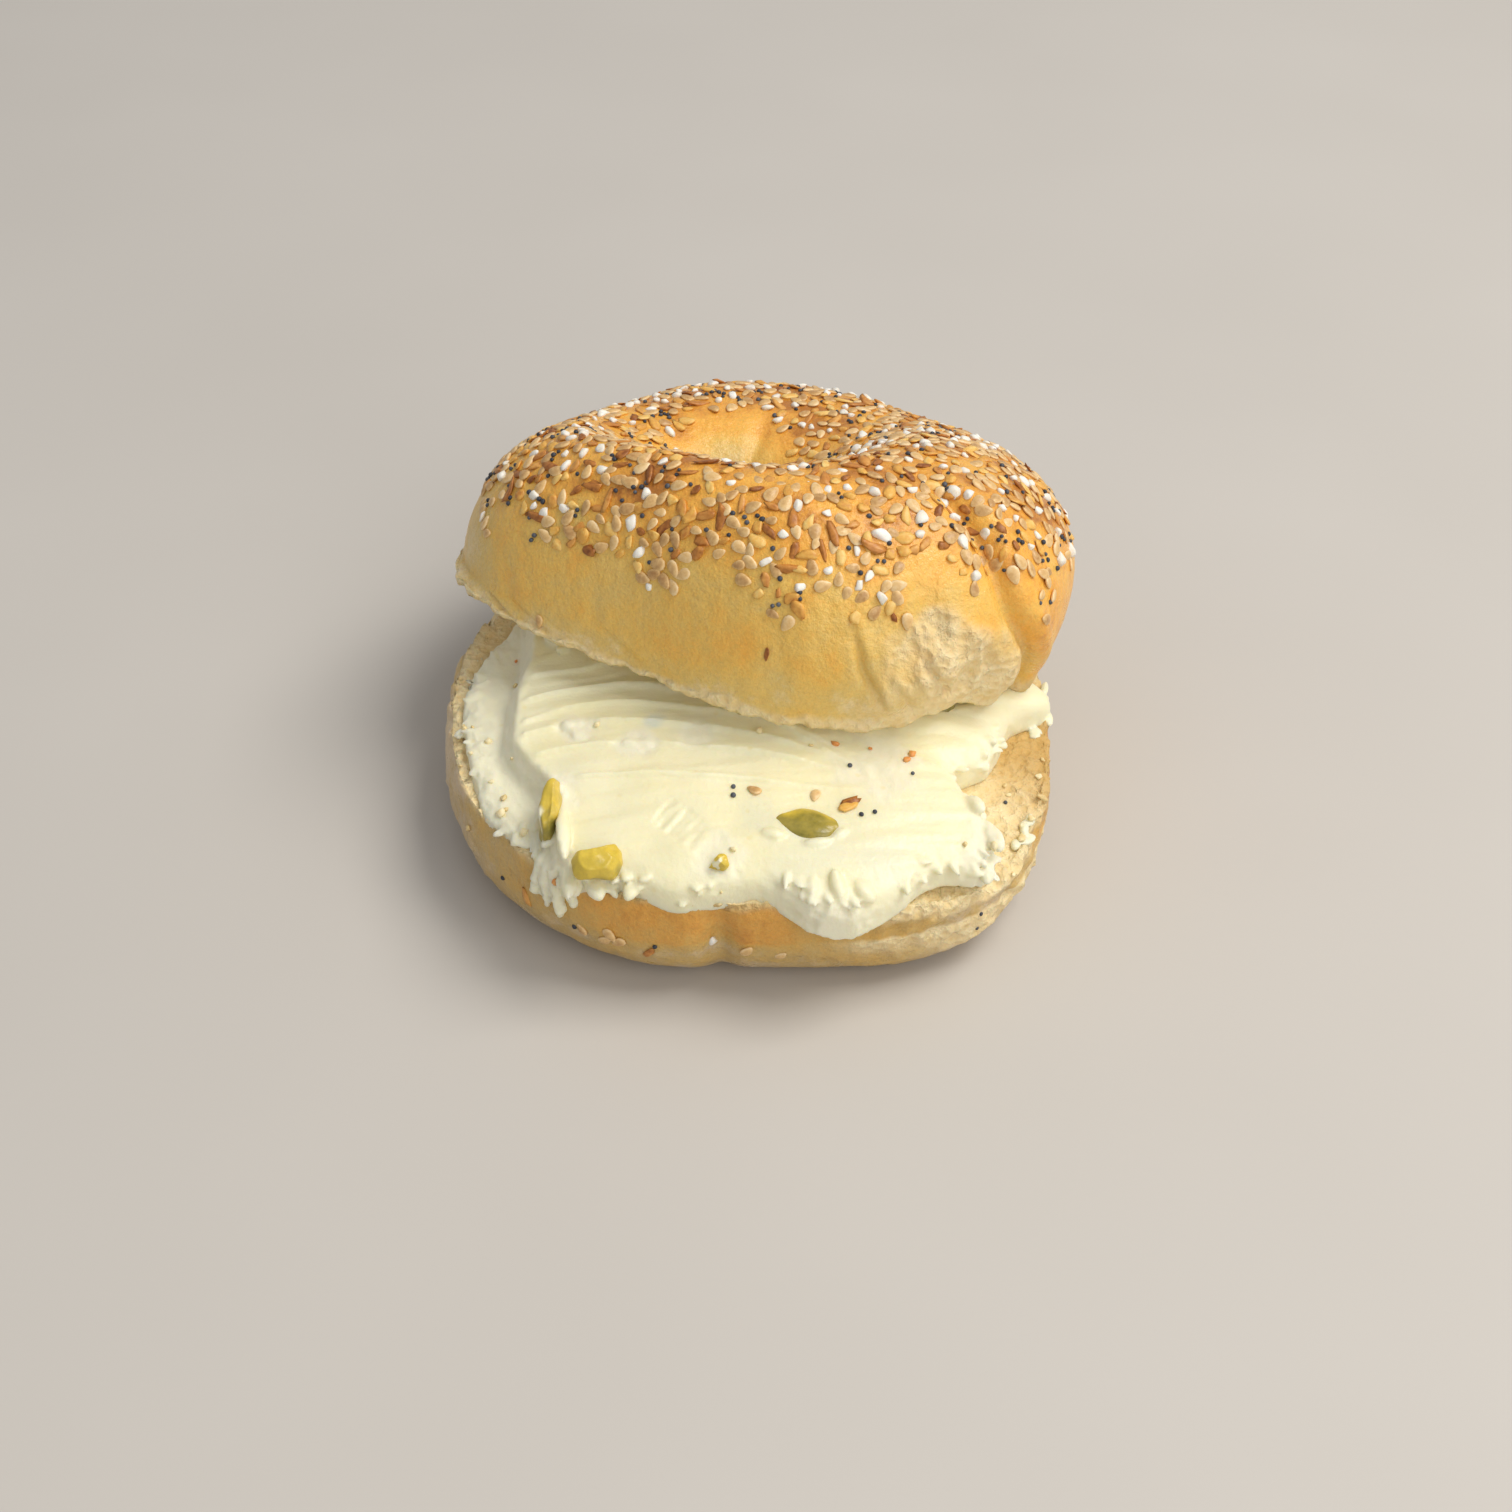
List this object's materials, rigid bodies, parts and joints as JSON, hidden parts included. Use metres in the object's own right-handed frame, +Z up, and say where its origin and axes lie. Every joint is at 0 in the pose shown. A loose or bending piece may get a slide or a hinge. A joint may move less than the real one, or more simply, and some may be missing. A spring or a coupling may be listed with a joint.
{
  "type": "bagel sandwich with cream cheese",
  "caption": "Sliced seeded bagel with a thick spread of cream cheese and olive pieces between its halves, the top half set back and leaning on the spread.",
  "frame": {"origin": "on the surface it stands on, under the middle of its bounding box", "axes": "+Z up, -Y towards the open front where the spread shows, +Y towards the side the top half overhangs"},
  "size_m": [0.1167, 0.1425, 0.0717],
  "materials": {
    "bagel_crust": "baked, satin",
    "cream_cheese": "soft, satin",
    "olive": "wet"
  },
  "bodies": {
    "root": {"heel": "bagel_crust", "crown": "bagel_crust", "cream_cheese": "cream_cheese", "olive_tall": "olive", "olive_front_left": "olive", "olive_middle": "olive", "olive_small": "olive", "olive_back": "olive"}
  },
  "joints": []
}
